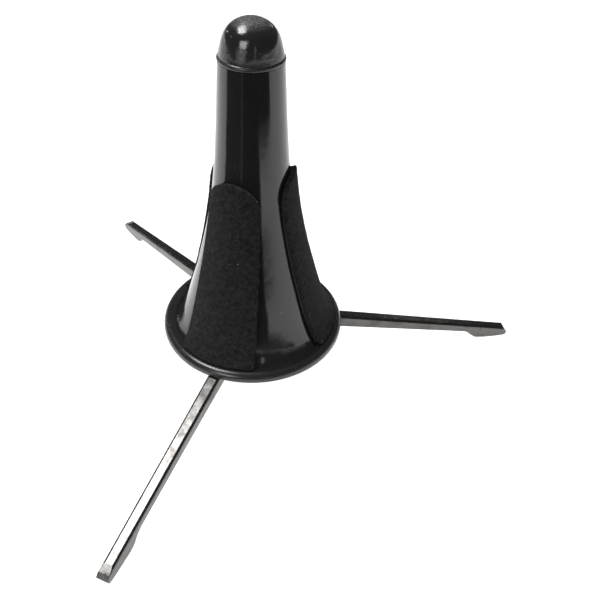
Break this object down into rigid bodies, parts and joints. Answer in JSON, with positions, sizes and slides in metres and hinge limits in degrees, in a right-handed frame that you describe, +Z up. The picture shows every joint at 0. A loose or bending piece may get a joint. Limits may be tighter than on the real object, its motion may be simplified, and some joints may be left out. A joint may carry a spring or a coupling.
{
  "type": "trumpet stand",
  "caption": "Trumpet stand: a flared black cone with felt pads and a soft round cap, on a round rimmed dish with three slim folding steel legs.",
  "frame": {"origin": "the centre of the circle of the three feet, on the floor under the cone's axis", "axes": "+Z up along the cone's axis, +X along leg 1"},
  "size_m": [0.2373, 0.274, 0.1972],
  "materials": {
    "cone_plastic": "gloss",
    "cap_rubber": "gloss",
    "black_felt": "matte",
    "adhesive": "matte",
    "dish_plastic": "satin",
    "hub_nylon": "matte",
    "leg_steel": "polished",
    "pin_steel": "satin",
    "washer_nylon": "satin",
    "zinc_screw": "satin"
  },
  "bodies": {
    "stand_body": {"cone_shell": "cone_plastic", "top_cap": "cap_rubber", "felt_pad_1": "black_felt", "felt_pad_2": "black_felt", "felt_pad_3": "black_felt", "pad_adhesive_1": "adhesive", "pad_adhesive_2": "adhesive", "pad_adhesive_3": "adhesive", "base_dish": "dish_plastic", "hinge_hub": "hub_nylon", "pivot_pin_1": "pin_steel", "pivot_pin_2": "pin_steel", "pivot_pin_3": "pin_steel", "hub_screws": "zinc_screw", "cone_screws": "zinc_screw"},
    "leg_1_body": {"leg_1": "leg_steel", "friction_washers_1": "washer_nylon"},
    "leg_2_body": {"leg_2": "leg_steel", "friction_washers_2": "washer_nylon"},
    "leg_3_body": {"leg_3": "leg_steel", "friction_washers_3": "washer_nylon"}
  },
  "joints": [
    {"name": "leg_1_fold", "type": "hinge", "parent": "stand_body", "child": "leg_1_body", "pos_m": [0.022, 0, 0.02772], "axis": [0, 1, 0], "range_deg": [0, 79]},
    {"name": "leg_2_fold", "type": "hinge", "parent": "stand_body", "child": "leg_2_body", "pos_m": [-0.011, 0.01905, 0.02772], "axis": [-0.866, -0.5, 0], "range_deg": [0, 79]},
    {"name": "leg_3_fold", "type": "hinge", "parent": "stand_body", "child": "leg_3_body", "pos_m": [-0.011, -0.01905, 0.02772], "axis": [0.866, -0.5, 0], "range_deg": [0, 79]}
  ]
}
